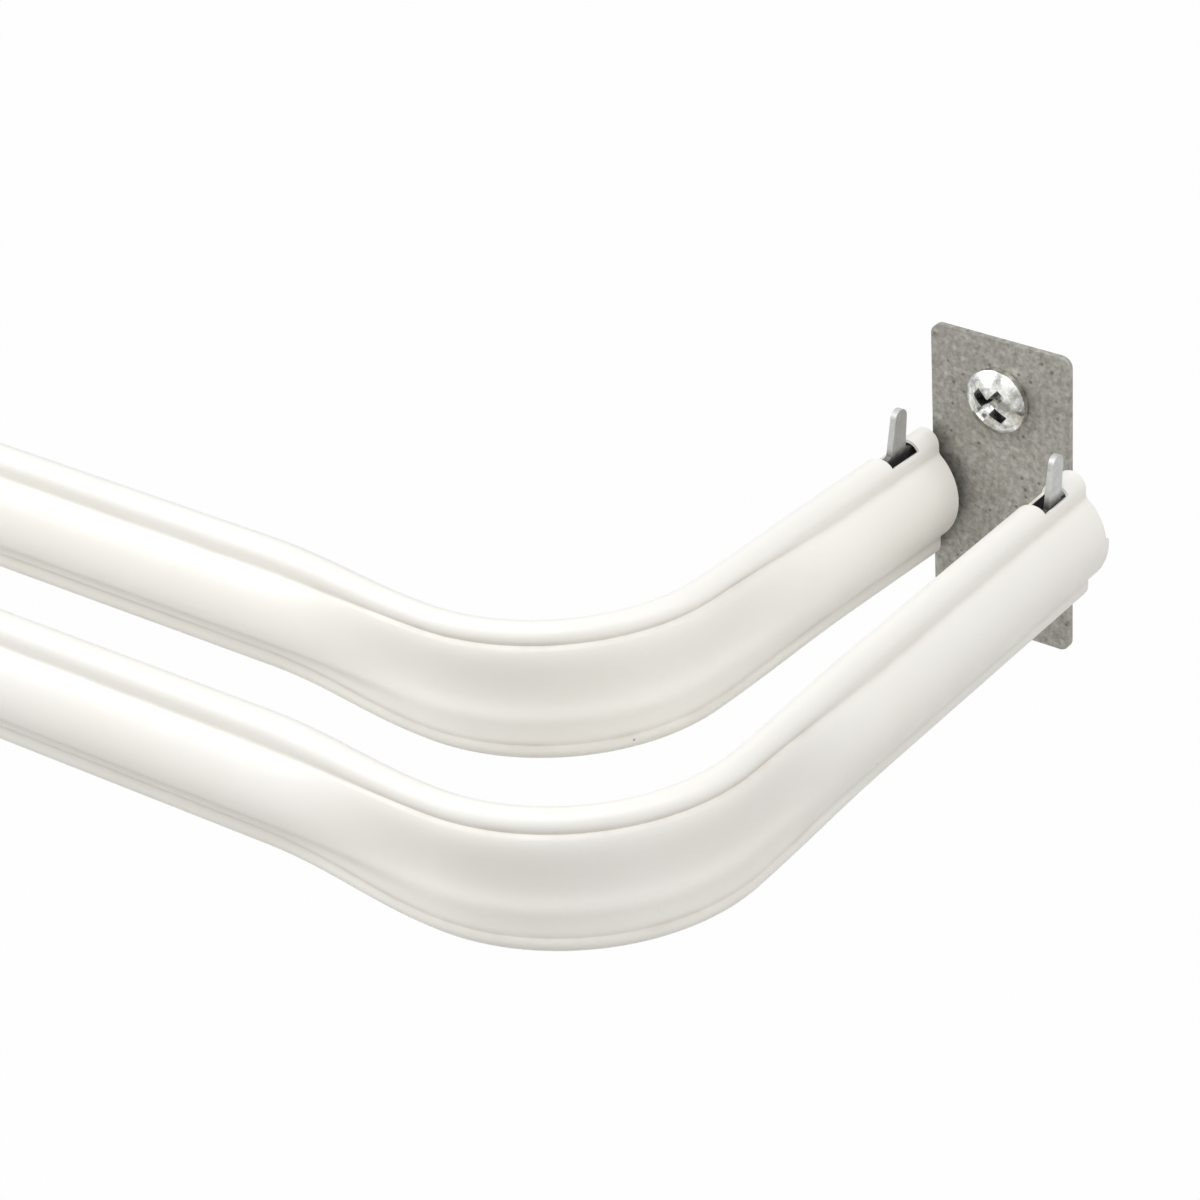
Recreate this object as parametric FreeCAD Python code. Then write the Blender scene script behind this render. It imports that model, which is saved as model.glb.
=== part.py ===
import FreeCAD, Part
import math
import os

# A double curtain rod for a window: two telescoping lock-seam rods on a pair of steel brackets.
# Sizes are in millimetres and angles in degrees.
# X runs along the window, Y into the wall and Z up. The room is on the -Y side.
# The origin is the middle of the right bracket's back, on the wall.

# The window that the closed rod spans, between the middles of its brackets
bracket_spacing = 711.0

# Bracket steel
steel = 0.8
plate_width = 19.6
plate_height = 40.5
plate_corner_radius = 1.4
arm_bend_radius = 0.6
arm_reach = 15.2
arm_nose_radius = 3.0
arm_below_centre = 1.4
prong_width = 2.8
prong_tip_width = 2.3
prong_rise = 5.0
prong_lean = 9.0
arm_root_drop = 1.5

# Wall screws
screw_end_distance = 7.75
screw_shank_diameter = 4.2
screw_hole_clearance = 0.3
screw_neck_diameter = 3.2
screw_neck_past_wall = 0.3
screw_length = 12.7
screw_point_length = 4.0
screw_head_diameter = 8.4
screw_head_height = 3.0
screw_rim_height = 1.2
screw_flat_diameter = 5.2
recess_width = 4.6
recess_wing_thickness = 1.0
recess_depth = 1.7

# Rod section: two round beads with a crowned face between them, in one sheet
sheet = 0.4
rod_height = 17.7
rod_centre_height = -2.6
bead_radius = 1.95
bead_flank = 0.75
crease_radius = 0.7
crown_reach = 4.8

# The same section where the rod is bent: the crown is pressed flat and the beads stand proud
bent_rod_height = 18.2
bent_crown_reach = 2.0
bent_bead_tuck = 20.0
bent_bead_flank = 0.1
bent_crease_radius = 0.3
bent_seam_clearance = 0.25

# Lock seam down the back: two hooked edges, pressed together
seam_gap = 0.06
seam_hook_length = 2.4
seam_below_centre = 3.5
joggle_radius = 0.5
joggle_angle = 60.0
fold_steps = 2
joggle_steps = 1

# Rod routes seen from above, measured to the line through the bead centres
rear_end_x = -10.0
front_end_x = 10.9
rear_projection = 65.8
front_projection = 95.7
rear_return_toe = -2.95
front_return_toe = 1.65
bend_radius = 23.5
main_flare = 2.6
return_flare = 0.6
flare_length = 27.0
ramp_steps = 2

# Fits
slide_clearance = 0.3
end_gap = 1.2
telescope_gap = 4.0
seat_clearance = 0.12
slot_setback = 3.8
slot_length = 5.4
slot_width = 3.6
slot_depth = 1.46
slot_off_crown = 0.2
slot_slant = 1.0
slot_front_clearance = 1.6
end_notch_depth = 0.6
end_notch_height = 0.7

up = FreeCAD.Vector(0, 0, 1)
bead_centre_height = rod_height / 2 - bead_radius
bent_bead_centre_height = bent_rod_height / 2 - bead_radius
screw_spacing = plate_height - 2 * screw_end_distance
seam_pitch = sheet + seam_gap
quarter_turn = 90.0
half_turn = 180.0
joint_tolerance = 1e-4
closely_along = 0.9


def vector(x, y, z=0.0):
    return FreeCAD.Vector(x, y, z)


def compass(heading):
    """Unit direction for a heading in degrees, clockwise from the second axis."""
    angle = math.radians(heading)
    return vector(math.sin(angle), math.cos(angle))


def rightward(heading):
    return compass(heading + quarter_turn)


class Straight:
    """A straight stretch of a sheet's centre line."""

    def __init__(self, length):
        self.length = length

    def sides(self, place, heading, thickness):
        finish = place + compass(heading) * self.length
        across = rightward(heading) * (thickness / 2)
        left = [(place - across, finish - across)]
        right = [(place + across, finish + across)]
        return left, right, finish, heading


class Bend:
    """A round stretch of a sheet's centre line: clockwise turns are positive.

    A tight fold that is pressed flat has a number of flats in place of the round.
    """

    def __init__(self, radius, turn, flats=0):
        self.radius = radius
        self.turn = turn
        self.flats = flats

    def sides(self, place, heading, thickness):
        side = math.copysign(1.0, self.turn)
        centre = place + rightward(heading) * (side * self.radius)

        def spot(radius, share):
            return centre - rightward(heading + self.turn * share) * (side * radius)

        def curve(radius):
            if self.flats == 0:
                return [tuple(spot(radius, share) for share in (0.0, 0.5, 1.0))]
            corners = [spot(radius, step / self.flats) for step in range(self.flats + 1)]
            return list(zip(corners, corners[1:]))

        left = curve(self.radius + side * thickness / 2)
        right = curve(self.radius - side * thickness / 2)
        return left, right, spot(self.radius, 1.0), heading + self.turn


def edge_through(points):
    """A line through two points, or an arc through three."""
    if len(points) == 2:
        return Part.makeLine(points[0], points[1])
    return Part.Arc(points[0], points[1], points[2]).toShape()


def strip_wire(start, heading, moves, thickness, lift):
    """Follow a sheet's centre line and close its two sides; lift places a flat point in space."""
    place = start
    left = []
    right = []
    for move in moves:
        more_left, more_right, place, heading = move.sides(place, heading, thickness)
        left += more_left
        right += more_right
    way_round = left + [(left[-1][-1], right[-1][-1])]
    way_round += [points[::-1] for points in reversed(right)]
    way_round += [(right[0][0], left[0][0])]
    return Part.Wire([edge_through([lift(point) for point in points]) for points in way_round])


def crown_shape(reach, bead_height, wrap, flank, crease):
    """Half angle and radius of the crown arc that joins the two creases at the stated reach."""
    angle = math.radians(wrap)
    crease_out = flank * math.sin(angle) - (bead_radius + crease) * math.cos(angle)
    half_span = bead_height + flank * math.cos(angle) + (bead_radius + crease) * math.sin(angle)
    rise = reach - crease_out + crease
    half_angle = 2 * math.atan2(rise, half_span)
    return math.degrees(half_angle), half_span / math.sin(half_angle) - crease


def upper_hook(side):
    """The upper edge's hook, from its tip: down beside the wall and round the fold."""
    return [Straight(seam_hook_length), Bend(seam_pitch, half_turn * side, fold_steps)]


def joggle_slant():
    angle = math.radians(joggle_angle)
    return (3 * seam_pitch - 2 * joggle_radius * (1 - math.cos(angle))) / math.sin(angle)


def lower_hook(side):
    """The lower edge's joggle over three layers, then its own hook round the upper one."""
    return [
        Bend(joggle_radius, joggle_angle * side, joggle_steps),
        Straight(joggle_slant()),
        Bend(joggle_radius, -joggle_angle * side, joggle_steps),
        Straight(seam_hook_length + joggle_radius),
        Bend(seam_pitch, -half_turn * side, fold_steps),
        Straight(seam_hook_length),
    ]


def joggle_height():
    angle = math.radians(joggle_angle)
    return 2 * joggle_radius * math.sin(angle) + joggle_slant() * math.cos(angle)


def rod_section(inset, flatness, folded_in, lift):
    """One closed wire of the rod's sheet, inset from the outer rod's skin.

    flatness runs from 0 on a straight run to 1 in the bend. Each bead wraps half a turn, and in
    the bend it stands further out from the middle, tucks further in and has a sharper crease.
    """
    def pressed(straight_size, bent_size):
        return straight_size + (bent_size - straight_size) * flatness

    depth = inset + sheet / 2
    back = -(bead_radius - depth)
    bent_reach = bent_crown_reach
    if folded_in:
        seam_face = back + 3 * seam_pitch + sheet / 2
        bent_reach = max(bent_reach, seam_face + bent_seam_clearance + inset + sheet)
    wrap = half_turn + pressed(0.0, bent_bead_tuck)
    flank = pressed(bead_flank, bent_bead_flank)
    crease = pressed(crease_radius, bent_crease_radius)
    bead_height = pressed(bead_centre_height, bent_bead_centre_height)
    reach = pressed(crown_reach, bent_reach)
    half_angle, crown_radius = crown_shape(reach, bead_height, wrap, flank, crease)
    fold_low = -seam_below_centre - seam_hook_length / 2
    side = 1.0 if folded_in else -1.0
    crease_turn = wrap - (half_turn - half_angle)
    start = vector(back + side * 2 * seam_pitch, fold_low + seam_hook_length)
    lower_wall = fold_low - joggle_radius - joggle_height() + bead_height
    moves = upper_hook(side)
    moves += [
        Straight(bead_height - fold_low),
        Bend(bead_radius - depth, wrap),
        Straight(flank),
        Bend(crease + depth, -crease_turn),
        Bend(abs(crown_radius - depth), 2 * half_angle),
        Bend(crease + depth, -crease_turn),
        Straight(flank),
        Bend(bead_radius - depth, wrap),
        Straight(lower_wall),
    ]
    moves += lower_hook(side)
    return strip_wire(start, half_turn, moves, sheet, lift)


def ease(share):
    """A smooth rise from 0 to 1."""
    return (1 - math.cos(math.pi * share)) / 2


def ease_slope(share):
    return math.pi / 2 * math.sin(math.pi * share)


def ramp(start, heading, flare):
    """Sections from a straight run to the bend: places, outward directions and flatness."""
    stations = []
    for step in range(ramp_steps + 1):
        share = step / ramp_steps
        place = start + compass(heading) * (flare_length * share)
        place += rightward(heading) * (flare * ease(share))
        swing = math.degrees(math.atan(flare * ease_slope(share) / flare_length))
        stations.append((place, rightward(heading + swing), ease(share)))
    return stations


class RodRoute:
    """A rod's line from above: a straight main run, one bend and a straight return to the wall.

    Towards the bend, the main run flares outward by main_flare and the return by return_flare.
    """

    def __init__(self, end_x, projection, toe):
        self.end = vector(end_x, -steel - end_gap)
        self.return_heading = -toe
        self.turn = quarter_turn + toe
        self.back_out = compass(self.return_heading) * -1
        flared_end = self.end + rightward(self.return_heading) * return_flare
        reach_out = (-projection - main_flare - flared_end.y) / self.back_out.y
        corner = flared_end + self.back_out * reach_out
        tangent = bend_radius * math.tan(math.radians(self.turn / 2))
        self.bend_start = corner - vector(tangent, 0)
        self.bend_centre = self.bend_start + vector(0, bend_radius)
        self.ramp_start = self.bend_start + vector(-flare_length, main_flare)
        self.ramp_end = self.end + self.back_out * (reach_out - tangent - flare_length)
        self.return_run = reach_out - tangent - flare_length

    def main_ramp(self):
        return ramp(self.ramp_start, quarter_turn, main_flare)

    def return_ramp(self):
        """The return's ramp, walked from the wall's side towards the bend."""
        stations = ramp(self.ramp_end, half_turn + self.return_heading, -return_flare)
        return [(place, outward * -1, flatness) for place, outward, flatness in stations]


def lifter(place, outward):
    """Carry a flat section point, outward and up, to a station on the route."""
    def lift(point):
        return vector(place.x, place.y, rod_centre_height) + outward * point.x + up * point.y
    return lift


def end_frame_box(route, behind, length, inner, outer, low, high, slant=0.0):
    """A box lined up with the return, from a distance behind its end.

    The side away from the crown is longer by the slant.
    """
    along = compass(route.return_heading)
    outward = rightward(route.return_heading)
    corner = route.end - along * behind
    corners = [corner + outward * inner, corner + outward * outer]
    corners += [corners[1] - along * length, corners[0] - along * (length + slant)]
    base = [vector(place.x, place.y, rod_centre_height + low) for place in corners]
    face = Part.Face(Part.makePolygon(base + base[:1]))
    return face.extrude(up * (high - low))


def without_face_at(shape, place, normal):
    """The faces of a shape, less the flat one on the stated plane."""
    def on_plane(face):
        return all(abs((vertex.Point - place).dot(normal)) < joint_tolerance for vertex in face.Vertexes)
    return [face for face in shape.Faces if not on_plane(face)]


def make_rod(route, inset, folded_in, stepped):
    """One rod section: main run, bend and return, with the slot for the bracket's prong."""
    def sections(stations):
        return [rod_section(inset, flatness, folded_in, lifter(place, outward))
                for place, outward, flatness in stations]

    main_ramp = sections(route.main_ramp())
    return_ramp = sections(route.return_ramp())
    main_run = bracket_spacing + 2 * route.ramp_start.x - telescope_gap
    main = Part.Face(main_ramp[0]).extrude(vector(-main_run, 0))
    along = route.back_out * -1
    tail = end_notch_depth if stepped else 0.0
    clear = rod_height
    back = Part.Face(return_ramp[0]).extrude(along * (route.return_run + tail))
    back = back.cut(end_frame_box(route, slot_setback, slot_length, -slot_width / 2 - slot_off_crown,
                                  slot_width / 2 - slot_off_crown, rod_height / 2 - slot_depth, clear,
                                  slot_slant))
    if stepped:
        back = back.cut(end_frame_box(route, -2 * tail, 2 * tail, -clear, clear, end_notch_height, clear))
    faces = without_face_at(main, route.ramp_start, vector(1, 0))
    faces += Part.makeLoft(main_ramp, False, True).Faces
    faces += main_ramp[-1].toNurbs().revolve(route.bend_centre, up, route.turn).Faces
    faces += Part.makeLoft(return_ramp, False, True).Faces
    faces += without_face_at(back, route.ramp_end, along)
    skin = Part.Compound(faces)
    skin.sewShape(joint_tolerance)
    rod = Part.Solid(skin.Shells[0])
    if rod.Volume < 0:
        rod.reverse()
    return rod


def plate_blank():
    low = vector(-plate_width / 2, 0, -plate_height / 2)
    plate = Part.makeBox(plate_width, steel, plate_height, low - vector(0, steel))
    upright = [edge for edge in plate.Edges if abs(edge.tangentAt(edge.FirstParameter).y) > closely_along]
    return plate.makeFillet(plate_corner_radius, upright)


def arm_outline(floor, aside):
    """Side view of an arm: the edge under the rod's bead, the leaning prong and the nose.

    The edge rises from the plate to the prong, and the prong tapers to a round tip.
    """
    def spot(out, height):
        return vector(aside, -out, height)

    bottom = rod_centre_height - arm_below_centre
    prong_front = steel + end_gap + slot_setback + slot_length - slot_front_clearance
    prong_back = prong_front - prong_width
    lean = math.tan(math.radians(prong_lean))
    tip = rod_centre_height + rod_height / 2 + prong_rise
    round_radius = prong_tip_width / 2
    taper = (prong_width - prong_tip_width) / 2
    shoulder = tip - round_radius
    shift = lean * (shoulder - floor)
    tip_back = spot(prong_back + taper - shift, shoulder)
    tip_front = spot(prong_front - taper - shift, shoulder)
    crown = spot((prong_front + prong_back) / 2 - shift - lean * round_radius, tip)
    nose = arm_nose_radius
    nose_diagonal = nose * (1 - math.sqrt(0.5))
    far = steel + arm_reach
    dip = floor - nose / 2
    sides = [
        (spot(0, bottom), spot(0, floor - arm_root_drop)),
        (spot(0, floor - arm_root_drop), spot(prong_back, floor)),
        (spot(prong_back, floor), tip_back),
        (tip_back, crown, tip_front),
        (tip_front, spot(prong_front, floor)),
        (spot(prong_front, floor), spot(far - nose, dip)),
        (spot(far - nose, dip), spot(far, dip - nose)),
        (spot(far, dip - nose), spot(far, bottom + nose)),
        (spot(far, bottom + nose), spot(far - nose_diagonal, bottom + nose_diagonal),
         spot(far - nose, bottom)),
        (spot(far - nose, bottom), spot(0, bottom)),
    ]
    return Part.Wire([edge_through(points) for points in sides])


def make_arm(side, route, seat_radius, shift):
    """An arm bent forward from the plate's edge, along the rod's return.

    Its upper edge lies inside the rod's bead, where seat_radius is free; shift moves the arm
    outward from the middle of the bead.
    """
    crest = math.sqrt(seat_radius ** 2 - (abs(shift) + steel / 2) ** 2)
    floor = rod_centre_height + bead_centre_height + crest
    turn = (quarter_turn + side * route.return_heading) * side
    bend = arm_bend_radius + steel / 2
    toe = math.tan(math.radians(route.return_heading))
    line_x = route.end.x + shift - toe * (route.end.y + steel / 2 + bend)
    top = rod_centre_height + rod_height / 2 + prong_rise
    low = rod_centre_height - rod_height / 2

    def lift(point):
        return vector(point.x, point.y, low)

    moves = [Straight(side * line_x - bend), Bend(bend, turn), Straight(arm_reach + steel)]
    start = vector(0, -steel / 2)
    strip = Part.Face(strip_wire(start, quarter_turn * side, moves, steel, lift)).extrude(up * (top - low))
    outline = Part.Face(arm_outline(floor, -2 * plate_width))
    return strip.common(outline.extrude(vector(4 * plate_width, 0)))


def make_bracket(inset, rear, front):
    """The wall plate with one arm bent forward from each upright edge, in one piece.

    The rear arm stands in the middle of its bead and the front one against the bead's flank.
    """
    seat_radius = bead_radius - inset - sheet - seat_clearance
    flank_shift = seat_radius - seat_clearance - steel / 2
    bracket = plate_blank()
    bracket = bracket.fuse(make_arm(-1, rear, seat_radius, 0.0))
    bracket = bracket.fuse(make_arm(1, front, seat_radius, flank_shift))
    hole_radius = screw_shank_diameter / 2 + screw_hole_clearance
    for height in (-screw_spacing / 2, screw_spacing / 2):
        hole = Part.makeCylinder(hole_radius, 3 * steel, vector(0, -2 * steel, height), vector(0, 1))
        bracket = bracket.cut(hole)
    return bracket.removeSplitter()


def make_screw(height):
    """A pan-head screw through the plate, pointing into the wall, with a cross recess.

    Its thread, plain here, starts past the wall's face, and a thinner neck crosses the plate.
    """
    radius = screw_shank_diameter / 2
    neck = screw_neck_diameter / 2
    head = screw_head_diameter / 2
    face = -steel
    rim = face - screw_rim_height
    crest = face - screw_head_height
    tip = face + screw_length
    outline = [
        vector(0, tip),
        vector(0, crest),
        vector(screw_flat_diameter / 2, crest),
        vector(head, rim),
        vector(head, face),
        vector(neck, face),
        vector(neck, screw_neck_past_wall),
        vector(radius, screw_neck_past_wall),
        vector(radius, tip - screw_point_length),
        vector(0, tip),
    ]
    screw = Part.Face(Part.makePolygon(outline)).revolve(vector(0, 0), vector(0, 1), 2 * half_turn)
    half_width = recess_width / 2
    half_thickness = recess_wing_thickness / 2
    for turn in (quarter_turn / 2, 3 * quarter_turn / 2):
        wing = Part.makeBox(recess_width, recess_depth, recess_wing_thickness,
                            vector(-half_width, crest, -half_thickness))
        wing.rotate(vector(0, 0), vector(0, 1), turn)
        screw = screw.cut(wing)
    screw.translate(vector(0, 0, height))
    return screw


def to_left(shape):
    """Mirror a right-hand piece to the other end of the closed rod."""
    return shape.mirror(vector(-bracket_spacing / 2, 0), vector(1, 0))


def save(shape, name):
    solids = shape.Solids
    piece = solids[0] if len(solids) == 1 else shape
    piece.exportStep(os.path.join("parts", name + ".step"))
    print(name, "solids", len(solids), "valid", shape.isValid(), "volume", round(shape.Volume, 1))


def main():
    os.makedirs("parts", exist_ok=True)
    rear = RodRoute(rear_end_x, rear_projection, rear_return_toe)
    front = RodRoute(front_end_x, front_projection, front_return_toe)
    inner_inset = sheet + slide_clearance
    save(make_rod(rear, 0.0, False, False), "rear_rod_outer_section")
    save(make_rod(front, 0.0, False, True), "front_rod_outer_section")
    save(to_left(make_rod(rear, inner_inset, True, False)), "rear_rod_inner_section")
    save(to_left(make_rod(front, inner_inset, True, False)), "front_rod_inner_section")
    save(make_bracket(0.0, rear, front), "right_bracket")
    save(to_left(make_bracket(inner_inset, rear, front)), "left_bracket")
    for level, height in (("upper", screw_spacing / 2), ("lower", -screw_spacing / 2)):
        screw = make_screw(height)
        save(screw, "right_" + level + "_screw")
        save(to_left(screw), "left_" + level + "_screw")


main()
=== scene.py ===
import math
from collections import namedtuple

import bpy
from mathutils import Matrix, Vector


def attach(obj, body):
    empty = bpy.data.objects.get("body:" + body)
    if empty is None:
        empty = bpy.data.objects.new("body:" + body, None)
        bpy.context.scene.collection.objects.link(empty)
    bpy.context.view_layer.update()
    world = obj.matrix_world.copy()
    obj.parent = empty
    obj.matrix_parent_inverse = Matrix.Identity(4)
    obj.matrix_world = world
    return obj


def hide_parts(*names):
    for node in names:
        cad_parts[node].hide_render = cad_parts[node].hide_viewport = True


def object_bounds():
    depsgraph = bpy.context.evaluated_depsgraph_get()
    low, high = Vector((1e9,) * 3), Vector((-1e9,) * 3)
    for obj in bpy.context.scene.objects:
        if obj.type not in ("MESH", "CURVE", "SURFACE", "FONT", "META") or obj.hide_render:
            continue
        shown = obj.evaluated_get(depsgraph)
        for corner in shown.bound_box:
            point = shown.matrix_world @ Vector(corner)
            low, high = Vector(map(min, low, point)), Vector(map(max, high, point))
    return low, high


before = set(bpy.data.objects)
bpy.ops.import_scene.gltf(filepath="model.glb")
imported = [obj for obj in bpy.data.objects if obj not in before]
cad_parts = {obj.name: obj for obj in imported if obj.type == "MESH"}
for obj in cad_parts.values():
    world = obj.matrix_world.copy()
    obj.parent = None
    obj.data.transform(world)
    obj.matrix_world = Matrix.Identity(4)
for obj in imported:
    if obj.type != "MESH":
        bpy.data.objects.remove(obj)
cad_low, cad_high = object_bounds()

# A double curtain rod on its wall brackets. Metres and radians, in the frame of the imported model:
# X runs along the window, Y into the wall, Z up, and the origin is behind the right bracket.

MM = 0.001
QUARTER = math.pi / 2

# Brackets
bracket_spacing = 711.0 * MM
steel = 0.8 * MM
screw_spacing = 25.0 * MM
broken_edge_width = 0.15 * MM
broken_edge_angle = math.radians(35.0)
flat_face_angle = math.radians(1.0)

# Rod sheet and its section on the straight runs
sheet = 0.4 * MM
rod_height = 17.7 * MM
rod_centre_height = -2.6 * MM
bead_radius = 1.95 * MM
bead_flank = 0.75 * MM
crease_radius = 0.7 * MM
crown_reach = 4.8 * MM
bead_centre_height = rod_height / 2 - bead_radius

# The section where the bend presses it flat
bent_rod_height = 18.2 * MM
bent_bead_radius = 1.6 * MM
bent_bead_tuck = math.radians(20.0)
bent_bead_flank = 0.1 * MM
bent_crease_radius = 0.3 * MM
bent_crown_reach = 1.67 * MM
bent_seam_clearance = 0.25 * MM
bent_bead_centre_height = bent_rod_height / 2 - bent_bead_radius

# Swell of the pressed crown, from its upper crease, at 0, to its lower one, at 1
crown_wave_height = 1.0 * MM
shoulder_share = 0.75
shoulder_lean = 0.45
shoulder_fade = 0.6
hollow_share = 0.5
ridge_share = 0.21
ridge_place = 0.73
ridge_width = 0.1

# Dip of the main run's crown above its lower crease
crown_dip_depth = 0.8 * MM
crown_dip_start = 0.7

# Lock seam
seam_gap = 0.06 * MM
seam_pitch = sheet + seam_gap
seam_hook_length = 2.4 * MM
seam_below_centre = 3.5 * MM
joggle_radius = 0.5 * MM
joggle_angle = math.radians(60.0)

# Steps that divide the section's stretches and the rod's route
fold_steps = 8
upper_wall_steps = 4
lower_wall_steps = 2
bead_steps = 36
flank_steps = 2
crease_steps = 8
crown_steps = 48
joggle_steps = 3
ramp_steps = 26
bend_steps = 40

# Rod routes seen from above
rear_end_x = -10.0 * MM
rear_projection = 65.8 * MM
rear_toe = math.radians(-2.95)
front_end_x = 10.9 * MM
front_projection = 95.7 * MM
front_toe = math.radians(1.65)
bend_radius = 23.5 * MM
main_flare = 2.6 * MM
return_flare = 0.6 * MM
flare_length = 27.0 * MM
end_gap = 1.2 * MM
telescope_gap = 4.0 * MM
slide_clearance = 0.3 * MM

# Small step in the front rod's end
end_notch_depth = 0.6 * MM
end_notch_height = 0.7 * MM

# Slot through the upper bead for the bracket's prong
slot_setback = 3.8 * MM
slot_length = 5.4 * MM
slot_width = 3.6 * MM
slot_off_crown = 0.2 * MM
slot_slant = 1.0 * MM

# Distances from the rod's end to its last stations: the slot's two ends and the end itself
last_stations = (slot_setback + slot_length, slot_setback, 0.0)

# Painted shade in the creases
groove_reach = 0.5 * MM
straight_crease_shade = 0.6

# Edges sharper than this are drawn sharp
sheet_sharp_angle = math.radians(40.0)
screw_sharp_angle = math.radians(32.0)

square_corners = ((-1, -1), (1, -1), (1, 1), (-1, 1))

Move = namedtuple("Move", "length turn steps part")
SectionPoint = namedtuple("SectionPoint", "out up heading part way")
Station = namedtuple("Station", "place outward flatness dip")


def compass(heading):
    """Unit direction for a heading, clockwise from the Y axis."""
    return Vector((math.sin(heading), math.cos(heading), 0))


def rightward(heading):
    return compass(heading + QUARTER)


# Section of the rod's sheet


def straight(length, steps=1):
    return Move(length, 0.0, steps, "wall")


def bend(radius, turn, steps, part="wall"):
    return Move(radius * abs(turn), turn, steps, part)


def crown_arc(reach, bead, bead_height, wrap, flank, crease):
    """Half angle and radius of the crown arc that joins the two creases at the stated reach."""
    crease_out = flank * math.sin(wrap) - (bead + crease) * math.cos(wrap)
    half_span = bead_height + flank * math.cos(wrap) + (bead + crease) * math.sin(wrap)
    rise = reach - crease_out + crease
    half_angle = 2 * math.atan2(rise, half_span)
    return half_angle, half_span / math.sin(half_angle) - crease


def joggle_slant():
    """Length of the joggle's slanted stretch, which steps over the seam's other layers."""
    rise = 3 * seam_pitch - 2 * joggle_radius * (1 - math.cos(joggle_angle))
    return rise / math.sin(joggle_angle)


def joggle_height():
    return 2 * joggle_radius * math.sin(joggle_angle) + joggle_slant() * math.cos(joggle_angle)


def section_moves(inset, flatness, smaller):
    """The section's start and its moves along the middle of the sheet, from one seam hook to the other.

    The inset is how far the sheet lies inside the larger rod's face, and the flatness goes from 0 on
    the straight runs to 1 in the bend. The smaller rod's seam folds inwards, the larger one's outwards.
    """
    def pressed(straight_size, bent_size):
        return straight_size + (bent_size - straight_size) * flatness

    depth = inset + sheet / 2
    bead = pressed(bead_radius, bent_bead_radius)
    back = -(bead - depth)
    bent_reach = bent_crown_reach
    if smaller:
        seam_face = back + 3 * seam_pitch + sheet / 2
        bent_reach = max(bent_reach, seam_face + bent_seam_clearance + inset + sheet)
    wrap = math.pi + pressed(0.0, bent_bead_tuck)
    flank = pressed(bead_flank, bent_bead_flank)
    crease = pressed(crease_radius, bent_crease_radius)
    bead_height = pressed(bead_centre_height, bent_bead_centre_height)
    reach = pressed(crown_reach, bent_reach)
    half_angle, crown_radius = crown_arc(reach, bead, bead_height, wrap, flank, crease)
    side = 1.0 if smaller else -1.0
    crease_turn = wrap - (math.pi - half_angle)
    fold_low = -seam_below_centre - seam_hook_length / 2
    lower_wall = fold_low - joggle_radius - joggle_height() + bead_height
    start = (back + side * 2 * seam_pitch, fold_low + seam_hook_length)
    moves = [
        straight(seam_hook_length),
        bend(seam_pitch, math.pi * side, fold_steps),
        straight(bead_height - fold_low, upper_wall_steps),
        bend(bead - depth, wrap, bead_steps, "upper bead"),
        straight(flank, flank_steps),
        bend(crease + depth, -crease_turn, crease_steps, "crease"),
        bend(abs(crown_radius - depth), 2 * half_angle, crown_steps, "crown"),
        bend(crease + depth, -crease_turn, crease_steps, "crease"),
        straight(flank, flank_steps),
        bend(bead - depth, wrap, bead_steps, "lower bead"),
        straight(lower_wall, lower_wall_steps),
        bend(joggle_radius, joggle_angle * side, joggle_steps),
        straight(joggle_slant()),
        bend(joggle_radius, -joggle_angle * side, joggle_steps),
        straight(seam_hook_length + joggle_radius),
        bend(seam_pitch, -math.pi * side, fold_steps),
        straight(seam_hook_length),
    ]
    return start, moves


def crown_wave(share):
    """The pressed crown's swell: a full shoulder below its upper crease, a hollow and a lower ridge."""
    shoulder = math.sin(math.pi * share ** shoulder_lean) * (1 - share) ** shoulder_fade
    hollow = math.sin(math.pi * share) ** 2
    ridge = math.exp(-((share - ridge_place) / ridge_width) ** 2)
    return shoulder_share * shoulder - hollow_share * hollow + ridge_share * ridge


def crown_dip(share):
    """How far the main run's crown draws in above its lower crease, as a share of its depth."""
    return math.sin(math.pi * max(0.0, share - crown_dip_start) / (1 - crown_dip_start)) ** 2


def crown_lift(share, flatness, dip):
    """How far the crown stands out from its plain arc."""
    wave = crown_wave_height * flatness ** 2 * crown_wave(share)
    return wave - crown_dip_depth * dip * crown_dip(share)


def section_points(inset, flatness, smaller, dip):
    """Points down the middle of the sheet, from one seam hook to the other."""
    (out, up), moves = section_moves(inset, flatness, smaller)
    heading = math.pi
    way = 0.0
    points = [SectionPoint(out, up, heading, "wall", way)]
    for move in moves:
        turn = move.turn / move.steps
        advance = move.length / move.steps
        chord = advance if turn == 0 else advance * math.sin(abs(turn) / 2) / (abs(turn) / 2)
        for step in range(1, move.steps + 1):
            out += chord * math.sin(heading + turn / 2)
            up += chord * math.cos(heading + turn / 2)
            heading += turn
            way += advance
            lift = crown_lift(step / move.steps, flatness, dip) if move.part == "crown" else 0.0
            lifted_out = out - lift * math.sin(heading + QUARTER)
            lifted_up = up - lift * math.cos(heading + QUARTER)
            points.append(SectionPoint(lifted_out, lifted_up, heading, move.part, way))
    return points


def groove_shares(points):
    """How deep in a crease each point of the section lies: 1 in the middle of a crease."""
    ways = [point.way for point in points if point.part == "crease"]
    half = crease_steps // 2
    middles = (ways[half], ways[-half])
    shares = []
    for point in points:
        away = min(abs(point.way - middle) for middle in middles)
        shares.append(math.exp(-(away / groove_reach) ** 2))
    return shares


def lip_shares(points):
    """How far round the lower bead each point lies: 0 before it, 1 after it."""
    ways = [point.way for point in points if point.part == "lower bead"]
    first, last = ways[0], ways[-1]
    return [min(1.0, max(0.0, (point.way - first) / (last - first))) for point in points]


# Route of a rod


def ease(share):
    return (1 - math.cos(math.pi * share)) / 2


def ease_slope(share):
    return math.pi / 2 * math.sin(math.pi * share)


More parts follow.
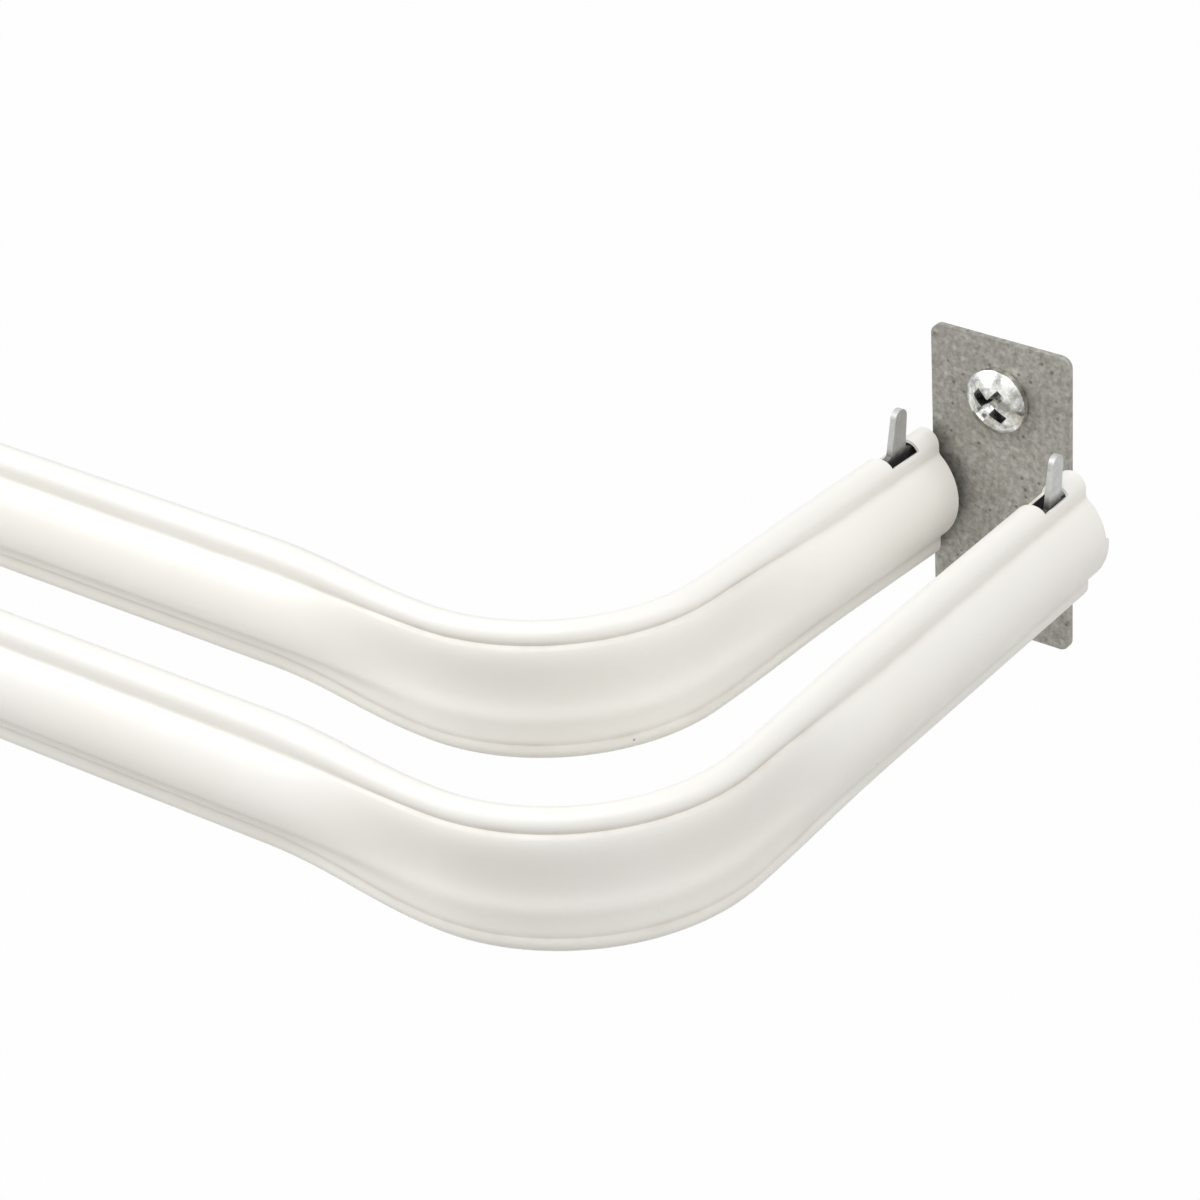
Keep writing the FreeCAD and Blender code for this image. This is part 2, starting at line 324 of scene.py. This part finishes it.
def ramp(start, heading, flare):
    """Stations from a straight run to the bend, where the rod flares and its crown goes flat."""
    stations = []
    for step in range(ramp_steps + 1):
        share = step / ramp_steps
        ahead = compass(heading) * (flare_length * share)
        place = start + ahead + rightward(heading) * (flare * ease(share))
        swing = math.atan(flare * ease_slope(share) / flare_length)
        stations.append(Station(place, rightward(heading + swing), ease(share), 1 - ease(share)))
    return stations


class Route:
    """A rod's line from above, from the main run's far end to the end at the wall."""

    def __init__(self, end_x, projection, toe):
        self.end = Vector((end_x, -steel - end_gap, 0))
        self.heading = -toe
        self.turn = QUARTER + toe
        self.back_out = -compass(self.heading)
        flared_end = self.end + rightward(self.heading) * return_flare
        reach_out = (-projection - main_flare - flared_end.y) / self.back_out.y
        corner = flared_end + self.back_out * reach_out
        tangent = bend_radius * math.tan(self.turn / 2)
        self.bend_start = corner - Vector((tangent, 0, 0))
        self.bend_centre = self.bend_start + Vector((0, bend_radius, 0))
        self.ramp_start = self.bend_start + Vector((-flare_length, main_flare, 0))
        self.ramp_end = self.end + self.back_out * (reach_out - tangent - flare_length)

    def stations(self):
        """Place, outward direction, flatness and the crown's dip, from the far end to the wall."""
        main_run = bracket_spacing + 2 * self.ramp_start.x - telescope_gap
        outward = Vector((0, -1, 0))
        line = [Station(self.ramp_start - Vector((main_run, 0, 0)), outward, 0.0, 1.0)]
        line += ramp(self.ramp_start, QUARTER, main_flare)
        for step in range(1, bend_steps):
            spin = Matrix.Rotation(self.turn * step / bend_steps, 3, "Z")
            place = self.bend_centre + spin @ (self.bend_start - self.bend_centre)
            line.append(Station(place, spin @ outward, 1.0, 0.0))
        back = ramp(self.ramp_end, math.pi + self.heading, -return_flare)
        for station in reversed(back):
            line.append(Station(station.place, -station.outward, station.flatness, 0.0))
        for behind in last_stations:
            place = self.end + self.back_out * behind
            line.append(Station(place, rightward(self.heading), 0.0, 0.0))
        return line


# Rods


def mesh_object(name, verts, faces, materials, face_materials, attributes, sharp_angle):
    """A smooth-shaded object, with its values for each point as named attributes."""
    mesh = bpy.data.meshes.new(name)
    mesh.from_pydata(verts, [], faces)
    for material in materials:
        mesh.materials.append(material)
    mesh.polygons.foreach_set("material_index", face_materials)
    for label, values in attributes.items():
        mesh.attributes.new(label, "FLOAT", "POINT").data.foreach_set("value", values)
    mesh.polygons.foreach_set("use_smooth", [True] * len(faces))
    mesh.set_sharp_from_angle(angle=sharp_angle)
    mesh.validate()
    mesh.update()
    thing = bpy.data.objects.new(name, mesh)
    bpy.context.scene.collection.objects.link(thing)
    return thing


class SheetFaces:
    """Faces between rings of points, each ring the outer skin's points and then the inner skin's."""

    def __init__(self, count, mirrored):
        self.count = count
        self.mirrored = mirrored
        self.faces = []
        self.materials = []

    def ring(self, station):
        return station * 2 * self.count

    def add(self, corners, turned=False, material=0):
        self.faces.append(corners[::-1] if turned != self.mirrored else corners)
        self.materials.append(material)

    def skins(self, station, k, inner_material):
        """The outer and the inner face of one strip between this station and the next."""
        here, there = self.ring(station) + k, self.ring(station + 1) + k
        self.add((here, there, there + 1, here + 1))
        here += self.count
        there += self.count
        self.add((here + 1, there + 1, there, here), material=inner_material)

    def edge_along(self, station, k, turned):
        """The sheet's edge between this station and the next."""
        here, there = self.ring(station) + k, self.ring(station + 1) + k
        self.add((here, here + self.count, there + self.count, there), turned)

    def edge_across(self, station, ks, turned):
        """The sheet's cut edge round a part of the section."""
        for k in ks:
            here = self.ring(station) + k
            self.add((here, here + 1, here + self.count + 1, here + self.count), turned)


def slot_strips(points):
    """The strips of the upper bead that the slot takes away, at the bead's top."""
    beads = [k for k in range(len(points) - 1) if points[k].part == "upper bead"]
    low = points[beads[len(beads) // 2]].up - bead_radius

    def in_slot(point):
        return abs(point.out + slot_off_crown) < slot_width / 2 and point.up > low

    open_strips = [k for k in beads if in_slot(points[k]) and in_slot(points[k + 1])]
    return range(open_strips[0], open_strips[-1] + 1)


def sheet_faces(points, station_count, mirrored):
    """All faces of the swept sheet: two skins, the seam's edges, both ends and the slot's walls."""
    count = len(points)
    strips = range(count - 1)
    fold_strips = 1 + fold_steps
    beads_and_back = range(fold_strips, count - 1 - fold_strips)
    slot = slot_strips(points)
    slot_station = station_count - len(last_stations)
    sides = SheetFaces(count, mirrored)
    for station in range(station_count - 1):
        for k in strips:
            if station != slot_station or k not in slot:
                # Inner faces of the tube take the near-black backing: painted shade inside the rod
                sides.skins(station, k, int(k in beads_and_back))
        sides.edge_along(station, 0, turned=False)
        sides.edge_along(station, count - 1, turned=True)
    sides.edge_across(0, strips, turned=False)
    sides.edge_across(station_count - 1, strips, turned=True)
    sides.edge_along(slot_station, slot[0], turned=True)
    sides.edge_along(slot_station, slot[-1] + 1, turned=False)
    sides.edge_across(slot_station, slot, turned=True)
    sides.edge_across(slot_station + 1, slot, turned=False)
    return sides.faces, sides.materials


def skin_spots(points, station):
    """The sheet's outer and then its inner skin at a station: section point, place and height."""
    for hand in (-1.0, 1.0):
        for point in points:
            out = point.out + hand * math.sin(point.heading + QUARTER) * sheet / 2
            up = point.up + hand * math.cos(point.heading + QUARTER) * sheet / 2
            yield point, station.place + station.outward * out, up


def build_rod(name, route, smaller, stepped, materials):
    """The folded sheet swept along its route, with its slot and its end at the wall.

    The smaller rod is made for the left bracket, as the mirror image of one for the right.
    """
    inset = sheet + slide_clearance if smaller else 0.0
    flip = -1.0 if smaller else 1.0
    shift_x = -bracket_spacing if smaller else 0.0
    line = route.stations()
    slot_station = len(line) - len(last_stations)
    verts, groove_values, lip_values = [], [], []
    for number, station in enumerate(line):
        points = section_points(inset, station.flatness, smaller, station.dip)
        at_end = number == len(line) - 1
        for point, spot, up in skin_spots(points, station):
            if at_end and stepped and up < end_notch_height:
                spot += compass(route.heading) * end_notch_depth
            if number == slot_station:
                far_side = (slot_width / 2 - slot_off_crown - point.out) / slot_width
                spot += route.back_out * (slot_slant * min(1.0, max(0.0, far_side)))
            verts.append((shift_x + flip * spot.x, spot.y, rod_centre_height + up))
        # Painted shade in the creases, fainter on the straight runs
        crease_shade_tint = straight_crease_shade + (1 - straight_crease_shade) * station.flatness
        groove_values += [share * crease_shade_tint for share in groove_shares(points)] * 2
        lip_values += [share * station.dip for share in lip_shares(points)] * 2
    faces, face_materials = sheet_faces(points, len(line), smaller)
    attributes = {"groove": groove_values, "lip": lip_values}
    return mesh_object(name, verts, faces, materials, face_materials, attributes, sheet_sharp_angle)


# Materials


class Nodes:
    """A short way to write a material's nodes."""

    def __init__(self, name):
        self.material = bpy.data.materials.new(name)
        self.material.use_nodes = True
        self.tree = self.material.node_tree
        self.shader = self.tree.nodes["Principled BSDF"]
        self.place = self.add("ShaderNodeTexCoord").outputs["Object"]

    def add(self, kind, **settings):
        node = self.tree.nodes.new(kind)
        for key, value in settings.items():
            setattr(node, key, value)
        return node

    def link(self, source, target):
        self.tree.links.new(source, target)

    def put(self, socket, value):
        """Sets a socket to a number or a colour, or links another socket to it."""
        if isinstance(value, (int, float)):
            socket.default_value = value
        elif isinstance(value, tuple):
            socket.default_value = (*value, 1.0)
        else:
            self.link(value, socket)

    def noise(self, scale, detail=2.0, roughness=0.5, place=None):
        node = self.add("ShaderNodeTexNoise")
        self.link(place or self.place, node.inputs["Vector"])
        node.inputs["Scale"].default_value = scale
        node.inputs["Detail"].default_value = detail
        node.inputs["Roughness"].default_value = roughness
        return node.outputs["Fac"]

    def dots(self, scale, core, edge):
        """Round dots: 1 within the core, falling to 0 at the edge, in shares of a cell."""
        node = self.add("ShaderNodeTexVoronoi", feature="F1")
        self.link(self.place, node.inputs["Vector"])
        node.inputs["Scale"].default_value = scale
        return self.spread(node.outputs["Distance"], core, edge, 1.0, 0.0)

    def spread(self, value, low, high, to_low=0.0, to_high=1.0):
        node = self.add("ShaderNodeMapRange")
        self.link(value, node.inputs["Value"])
        node.inputs["From Min"].default_value = low
        node.inputs["From Max"].default_value = high
        node.inputs["To Min"].default_value = to_low
        node.inputs["To Max"].default_value = to_high
        return node.outputs["Result"]

    def band(self, value, middle, half_width):
        """1 at the middle value, falling to 0 at half the width on either side."""
        away = self.math("ABSOLUTE", self.math("SUBTRACT", value, middle))
        return self.spread(away, 0.0, half_width, 1.0, 0.0)

    def math(self, operation, first, second=0.0):
        node = self.add("ShaderNodeMath", operation=operation)
        self.put(node.inputs[0], first)
        self.put(node.inputs[1], second)
        return node.outputs[0]

    def mix(self, share, first, second):
        node = self.add("ShaderNodeMix", data_type="RGBA")
        self.put(node.inputs["Factor"], share)
        self.put(node.inputs["A"], first)
        self.put(node.inputs["B"], second)
        return node.outputs["Result"]

    def stain(self, colour, mask, most, tint):
        """Lays a tint over a colour where the mask is 1, by the stated share at most."""
        return self.mix(self.math("MULTIPLY", mask, most), colour, tint)

    def attribute(self, label):
        return self.add("ShaderNodeAttribute", attribute_name=label).outputs["Fac"]

    def stretched(self, x, y, z):
        node = self.add("ShaderNodeMapping")
        self.link(self.place, node.inputs["Vector"])
        node.inputs["Scale"].default_value = (x, y, z)
        return node.outputs["Vector"]

    def metal(self, share):
        self.shader.inputs["Metallic"].default_value = share

    def bump(self, height, distance, strength):
        node = self.add("ShaderNodeBump")
        node.inputs["Strength"].default_value = strength
        node.inputs["Distance"].default_value = distance
        self.link(height, node.inputs["Height"])
        self.link(node.outputs["Normal"], self.shader.inputs["Normal"])

    def finish(self, colour, roughness):
        self.put(self.shader.inputs["Base Color"], colour)
        self.put(self.shader.inputs["Roughness"], roughness)
        return self.material


def white_paint():
    """Baked white enamel: a faint orange peel, specks, painted shade in the creases and a broken dark
    line on the lower bead.
    """
    nodes = Nodes("white_enamel")
    clean = (0.875, 0.86, 0.825)
    warm = (0.85, 0.825, 0.77)
    crease_shade_tint = (0.4, 0.35, 0.27)
    lip_line_colour = (0.24, 0.22, 0.19)
    speck = (0.25, 0.21, 0.16)
    clouds = nodes.spread(nodes.noise(55.0, detail=3.0), 0.35, 0.7)
    colour = nodes.stain(clean, clouds, 0.5, warm)
    # Painted shade: the creases darkened in uneven patches
    patches = nodes.spread(nodes.noise(130.0, detail=3.0, roughness=0.6), 0.3, 0.7, 0.35, 1.0)
    crease_shade = nodes.math("MULTIPLY", nodes.attribute("groove"), patches)
    colour = nodes.stain(colour, crease_shade, 0.42, crease_shade_tint)
    # A broken dark line round the lower bead on the main run
    gaps = nodes.spread(nodes.noise(420.0, detail=3.0, roughness=0.7), 0.35, 0.6)
    lip_line = nodes.math("MULTIPLY", nodes.band(nodes.attribute("lip"), 0.3, 0.05), gaps)
    colour = nodes.stain(colour, lip_line, 0.85, lip_line_colour)
    colour = nodes.stain(colour, nodes.dots(110.0, core=0.014, edge=0.024), 0.75, speck)
    roughness = nodes.spread(nodes.noise(240.0), 0.3, 0.7, 0.36, 0.5)
    grain = nodes.math("MULTIPLY", nodes.noise(2600.0, detail=1.0), 0.35)
    peel = nodes.math("ADD", nodes.noise(900.0), grain)
    nodes.bump(peel, distance=0.03 * MM, strength=0.35)
    return nodes.finish(colour, roughness)


def shaded_sheet_back():
    """The dull backing coat on the sheet's inner face, painted near-black as the shade inside the rod."""
    nodes = Nodes("backing_coat_with_inner_shade")
    # Near-black: painted shade inside the rod
    dark = (0.045, 0.047, 0.05)
    light = (0.075, 0.077, 0.08)
    clouds = nodes.noise(400.0, detail=3.0)
    nodes.bump(nodes.noise(1500.0), distance=0.02 * MM, strength=0.4)
    return nodes.finish(nodes.mix(clouds, dark, light), nodes.spread(clouds, 0.3, 0.7, 0.5, 0.65))


def galvanised():
    """Dull galvanised steel: mottled spangle, drag lines, stains, flecks and pits.

    The bracket's arms are painted near-black inside the rods as their shade, and its prongs are painted
    lighter above them as lit.
    """
    nodes = Nodes("galvanised")
    nodes.metal(0.55)
    dark = (0.235, 0.228, 0.198)
    light = (0.47, 0.46, 0.425)
    dragged = (0.44, 0.435, 0.4)
    stained = (0.2, 0.185, 0.15)
    fleck = (0.62, 0.61, 0.57)
    pit = (0.12, 0.105, 0.08)
    bright = (0.66, 0.67, 0.67)
    painted_inner_shade = (0.03, 0.033, 0.038)
    spangle = nodes.noise(1100.0, detail=4.0, roughness=0.75)
    drag = nodes.noise(520.0, detail=3.0, roughness=0.6, place=nodes.stretched(1.0, 1.0, 0.2))
    stain = nodes.spread(nodes.noise(190.0, detail=4.0, roughness=0.6), 0.52, 0.75)
    colour = nodes.mix(nodes.spread(spangle, 0.33, 0.67), dark, light)
    colour = nodes.stain(colour, nodes.spread(drag, 0.5, 0.7), 0.25, dragged)
    colour = nodes.stain(colour, stain, 0.45, stained)
    colour = nodes.stain(colour, nodes.dots(520.0, core=0.1, edge=0.22), 0.35, fleck)
    rare = nodes.spread(nodes.noise(300.0), 0.4, 0.52)
    pits = nodes.math("MULTIPLY", nodes.dots(640.0, core=0.1, edge=0.2), rare)
    colour = nodes.stain(colour, pits, 0.75, pit)
    parts = nodes.add("ShaderNodeSeparateXYZ")
    nodes.link(nodes.place, parts.inputs["Vector"])
    arms = nodes.spread(parts.outputs["Y"], -3 * MM, -5 * MM)
    prong_light_mask = nodes.spread(parts.outputs["Z"], 5.6 * MM, 6.6 * MM)
    inner_shade_mask = nodes.spread(parts.outputs["Z"], 5.0 * MM, 6.2 * MM, 1.0, 0.0)
    # Painted light: the prongs above the rods made lighter
    colour = nodes.stain(colour, nodes.math("MULTIPLY", arms, prong_light_mask), 0.6, bright)
    # Painted shade: the arms inside the rods made near-black
    colour = nodes.stain(colour, nodes.math("MULTIPLY", arms, inner_shade_mask), 0.9, painted_inner_shade)
    roughness = nodes.spread(nodes.noise(700.0, detail=4.0, roughness=0.65), 0.3, 0.7, 0.42, 0.62)
    nodes.bump(nodes.math("ADD", spangle, drag), distance=0.04 * MM, strength=0.5)
    return nodes.finish(colour, roughness)


def bright_zinc():
    """Bright zinc plate with an uneven, slightly hammered skin and cloudy grey patches painted in as dark
    reflections.
    """
    nodes = Nodes("bright_zinc")
    nodes.metal(1.0)
    bright = (0.88, 0.88, 0.84)
    reflection_grey = (0.36, 0.365, 0.345)
    reflection_and_roughness_noise = nodes.noise(420.0, detail=4.0, roughness=0.65)
    # Painted reflection: cloudy grey patches standing in for dark reflections on the head
    colour = nodes.mix(nodes.spread(reflection_and_roughness_noise, 0.42, 0.6), bright, reflection_grey)
    nodes.bump(nodes.noise(650.0), distance=0.12 * MM, strength=0.45)
    return nodes.finish(colour, nodes.spread(reflection_and_roughness_noise, 0.3, 0.7, 0.12, 0.3))


def recess_shade():
    """Zinc down in the screw's cross recess, painted dark in patches as its shade, lighter between them.
    """
    nodes = Nodes("recess_shade")
    nodes.metal(1.0)
    dark = (0.07, 0.07, 0.07)
    lighter_patch = (0.6, 0.6, 0.58)
    # Painted shade: dark and lighter patches over the recess
    recess_patches = nodes.spread(nodes.noise(900.0, detail=3.0, roughness=0.6), 0.38, 0.58)
    nodes.bump(nodes.noise(1100.0), distance=0.08 * MM, strength=0.4)
    return nodes.finish(nodes.mix(recess_patches, dark, lighter_patch), nodes.spread(recess_patches, 0.0, 1.0, 0.35, 0.2))


# Screws, with depths from the head's seat on the plate

head_radius = 4.2 * MM
head_height = 2.8 * MM
rim_height = 1.1 * MM
dome_steps = 14
neck_radius = 1.53 * MM
shank_radius = 2.1 * MM
root_radius = 1.5 * MM
thread_pitch = 1.4 * MM
thread_start = 1.6 * MM
thread_flank_share = 0.24
thread_fade = 1.6
screw_length = 12.7 * MM
shank_steps = 110
point_length = 4.0 * MM
point_fullness = 0.8
steps_round = 48

# The rim's rounded foot: share of the head's radius and share of the rim's height
rim_foot = ((1.0, 0.45), (0.985, 0.12), (0.96, 0.0))

# A wing of the cross recess above the head's crown and at its floor: depth below the crown, half
# width and half thickness
recess_turn = math.radians(-52.0)
recess_ends = (
    (-0.6 * MM, 3.36 * MM, 0.759 * MM),
    (2.2 * MM, 1.26 * MM, 0.4092 * MM),
)


def head_profile():
    """Radius and depth pairs over the pan head, from its crown to its underside."""
    dome = head_height - rim_height
    radius = (head_radius ** 2 + dome ** 2) / (2 * dome)
    reach = math.asin(head_radius / radius)
    profile = []
    for step in range(1, dome_steps + 1):
        angle = reach * step / dome_steps
        profile.append((radius * math.sin(angle), -head_height + radius * (1 - math.cos(angle))))
    for wide, high in rim_foot:
        profile.append((head_radius * wide, -rim_height * high))
    return profile


def thread_radius(depth, angle):
    """Radius of the threaded shank at a depth behind the head, with a run-in and a sharp point."""
    phase = (depth / thread_pitch - angle / (2 * math.pi)) % 1.0
    ridge = max(0.0, 1.0 - abs(phase - 0.5) / thread_flank_share)
    start = min(1.0, max(0.0, (depth - thread_start) / thread_pitch))
    taper = min(1.0, (screw_length - depth) / point_length)
    core = root_radius * taper ** point_fullness
    return core + (shank_radius - root_radius) * ridge * start * min(1.0, taper * thread_fade)


def screw_surface():
    """Points and faces of the screw round its axis, before its recess is cut."""
    angles = [2 * math.pi * k / steps_round for k in range(steps_round)]
    rows = []
    for radius, depth in head_profile() + [(neck_radius, 0.0)]:
        rows.append([(radius, depth)] * steps_round)
    for step in range(1, shank_steps):
        depth = screw_length * step / shank_steps
        rows.append([(thread_radius(depth, angle), depth) for angle in angles])
    verts = [(0.0, -head_height, 0.0)]
    for row in rows:
        for (radius, depth), angle in zip(row, angles):
            verts.append((radius * math.cos(angle), depth, radius * math.sin(angle)))
    verts.append((0.0, screw_length, 0.0))
    tip = len(verts) - 1
    last = tip - steps_round
    faces = []
    for k in range(steps_round):
        after = (k + 1) % steps_round
        faces.append((0, 1 + k, 1 + after))
        faces.append((tip, last + after, last + k))
        for here in range(1, last, steps_round):
            there = here + steps_round
            faces.append((here + k, there + k, there + after, here + after))
    return verts, faces


def recess_cutter(turn, material):
    """One tapered wing of the cross recess."""
    spin = Matrix.Rotation(turn, 3, "Y")
    verts = []
    for depth, half_width, half_thickness in recess_ends:
        for side_x, side_z in square_corners:
            verts.append(spin @ Vector((side_x * half_width, depth, side_z * half_thickness)))
    faces = [(0, 1, 2, 3), (7, 6, 5, 4)]
    for k in range(4):
        after = (k + 1) % 4
        faces.append((k + 4, after + 4, after, k))
    mesh = bpy.data.meshes.new("recess_wing")
    mesh.from_pydata(verts, [], faces)
    mesh.materials.append(material)
    cutter = bpy.data.objects.new("recess_wing", mesh)
    cutter.location = (0.0, -head_height, 0.0)
    bpy.context.scene.collection.objects.link(cutter)
    return cutter


def cut_recess(screw, material):
    cutters = [recess_cutter(turn, material) for turn in (recess_turn, recess_turn + QUARTER)]
    bpy.context.view_layer.update()
    for cutter in cutters:
        cut = screw.modifiers.new("recess", "BOOLEAN")
        cut.operation = "DIFFERENCE"
        cut.solver = "EXACT"
        cut.material_mode = "TRANSFER"
        cut.object = cutter
    evaluated = screw.evaluated_get(bpy.context.evaluated_depsgraph_get())
    shaped = bpy.data.meshes.new_from_object(evaluated)
    screw.modifiers.clear()
    screw.data = shaped
    for cutter in cutters:
        bpy.data.objects.remove(cutter)


def build_screw(name, x, z, materials):
    """A pan-head screw: domed head with a cross recess, neck, rolled thread and point."""
    verts, faces = screw_surface()
    face_materials = [0] * len(faces)
    screw = mesh_object(name, verts, faces, materials, face_materials, {}, screw_sharp_angle)
    cut_recess(screw, materials[1])
    screw.data.transform(Matrix.Translation((x, -steel, z)))
    screw.data.set_sharp_from_angle(angle=screw_sharp_angle)
    return screw


# Brackets


def dress_bracket(node, material):
    """The bracket keeps its own shape, with its stamped edges just broken."""
    node.data.materials.clear()
    node.data.materials.append(material)
    flat = node.modifiers.new("flat_faces", "DECIMATE")
    flat.decimate_type = "DISSOLVE"
    flat.angle_limit = flat_face_angle
    edge = node.modifiers.new("broken_edges", "BEVEL")
    edge.width = broken_edge_width
    edge.segments = 2
    edge.limit_method = "ANGLE"
    edge.angle_limit = broken_edge_angle
    edge.harden_normals = True


# Studio

floor_colour = (0.62, 0.605, 0.57)
floor_white_share = 0.98
floor_half_size = 6.0
floor_below = 0.25
world_strength = 0.36
lamp_aim = (0.0, -60 * MM, 0.0)
lamp_size = 0.8

# Name, place and power of each lamp
lamps = (
    ("key_light", (0.3, -0.75, 1.1), 6.2),
    ("left_light", (-0.95, -0.7, 0.75), 9.6),
    ("right_light", (1.2, 0.2, 0.45), 1.6),
    ("back_light", (0.9, 0.0, 1.0), 6.0),
)

# The photograph's camera
camera_place = (252.91 * MM, -394.56 * MM, 262.39 * MM)
camera_azimuth = math.radians(38.817)
camera_elevation = math.radians(30.544)
camera_roll = math.radians(3.614)
camera_lens = 131.018
camera_sensor = 36.0


def studio_surface(name, colour, white_share):
    """A matt pale surface that looks white to the camera and in gloss, and keeps its shadows."""
    nodes = Nodes(name)
    nodes.put(nodes.shader.inputs["Base Color"], colour)
    nodes.put(nodes.shader.inputs["Roughness"], 1.0)
    path = nodes.add("ShaderNodeLightPath")
    seen = nodes.math("MAXIMUM", path.outputs["Is Camera Ray"], path.outputs["Is Glossy Ray"])
    seen = nodes.math("MAXIMUM", seen, path.outputs["Is Transmission Ray"])
    glow = nodes.add("ShaderNodeEmission")
    glow.inputs["Strength"].default_value = 1.0
    blend = nodes.add("ShaderNodeMixShader")
    nodes.link(nodes.math("MULTIPLY", seen, white_share), blend.inputs[0])
    nodes.link(nodes.shader.outputs[0], blend.inputs[1])
    nodes.link(glow.outputs[0], blend.inputs[2])
    nodes.link(blend.outputs[0], nodes.tree.nodes["Material Output"].inputs["Surface"])
    return nodes.material


def build_floor():
    centre = (cad_low + cad_high) / 2
    height = cad_low.z - floor_below
    corners = []
    for side_x, side_y in square_corners:
        corners.append((centre.x + side_x * floor_half_size, centre.y + side_y * floor_half_size, height))
    mesh = bpy.data.meshes.new("studio_floor")
    mesh.from_pydata(corners, [], [(0, 1, 2, 3)])
    mesh.materials.append(studio_surface("studio_floor", floor_colour, floor_white_share))
    floor = bpy.data.objects.new("studio_floor", mesh)
    bpy.context.scene.collection.objects.link(floor)


def build_world():
    """Even white surroundings: white to the camera and in gloss, softer as light."""
    world = bpy.data.worlds.new("studio")
    bpy.context.scene.world = world
    world.use_nodes = True
    tree = world.node_tree
    background = tree.nodes["Background"]
    background.inputs["Color"].default_value = (1.0, 1.0, 1.0, 1.0)
    path = tree.nodes.new("ShaderNodeLightPath")
    seen = path.outputs["Is Camera Ray"]
    for label in ("Is Glossy Ray", "Is Transmission Ray"):
        most = tree.nodes.new("ShaderNodeMath")
        most.operation = "MAXIMUM"
        tree.links.new(seen, most.inputs[0])
        tree.links.new(path.outputs[label], most.inputs[1])
        seen = most.outputs[0]
    level = tree.nodes.new("ShaderNodeMapRange")
    tree.links.new(seen, level.inputs["Value"])
    level.inputs["To Min"].default_value = world_strength
    level.inputs["To Max"].default_value = 1.0
    tree.links.new(level.outputs["Result"], background.inputs["Strength"])


def soft_light(name, place, power):
    data = bpy.data.lights.new(name, "AREA")
    data.shape = "SQUARE"
    data.size = lamp_size
    data.energy = power
    lamp = bpy.data.objects.new(name, data)
    lamp.location = place
    lamp.rotation_euler = (Vector(lamp_aim) - Vector(place)).to_track_quat("-Z", "Y").to_euler()
    bpy.context.scene.collection.objects.link(lamp)


def build_camera():
    """The photograph's view: a long lens from the right, looking down on the bend."""
    level_part = math.cos(camera_elevation)
    sight = Vector((-math.sin(camera_azimuth) * level_part, math.cos(camera_azimuth) * level_part,
                    -math.sin(camera_elevation)))
    level = Vector((math.cos(camera_azimuth), math.sin(camera_azimuth), 0.0))
    down = sight.cross(level)
    right = level * math.cos(camera_roll) + down * math.sin(camera_roll)
    below = down * math.cos(camera_roll) - level * math.sin(camera_roll)
    data = bpy.data.cameras.new("photo_view")
    data.sensor_width = camera_sensor
    data.lens = camera_lens
    data.clip_start = 0.02
    data.clip_end = 50.0
    camera = bpy.data.objects.new("photo_view", data)
    turn = Matrix((right, -below, -sight)).transposed()
    camera.matrix_world = Matrix.Translation(camera_place) @ turn.to_4x4()
    bpy.context.scene.collection.objects.link(camera)
    bpy.context.scene.camera = camera


# The dressed object

sheet_materials = [white_paint(), shaded_sheet_back()]
screw_materials = [bright_zinc(), recess_shade()]
bracket_material = galvanised()

rear = Route(rear_end_x, rear_projection, rear_toe)
front = Route(front_end_x, front_projection, front_toe)
for label, route, smaller, stepped in (
    ("rear_rod_outer", rear, False, False),
    ("front_rod_outer", front, False, True),
    ("rear_rod_inner", rear, True, False),
    ("front_rod_inner", front, True, False),
):
    rod = build_rod(label + "_painted", route, smaller, stepped, sheet_materials)
    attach(rod, "left_half" if smaller else "right_half")
    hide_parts(label + "_section")

for side, x, body in (("right", 0.0, "right_half"), ("left", -bracket_spacing, "left_half")):
    dress_bracket(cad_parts[side + "_bracket"], bracket_material)
    for level, z in (("upper", screw_spacing / 2), ("lower", -screw_spacing / 2)):
        node = f"{side}_{level}_screw"
        screw = build_screw(node + "_detail", x, z, screw_materials)
        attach(screw, body)
        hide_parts(node)

build_floor()
build_world()
for name, place, power in lamps:
    soft_light(name, place, power)
build_camera()
bpy.context.scene.view_settings.view_transform = "Standard"
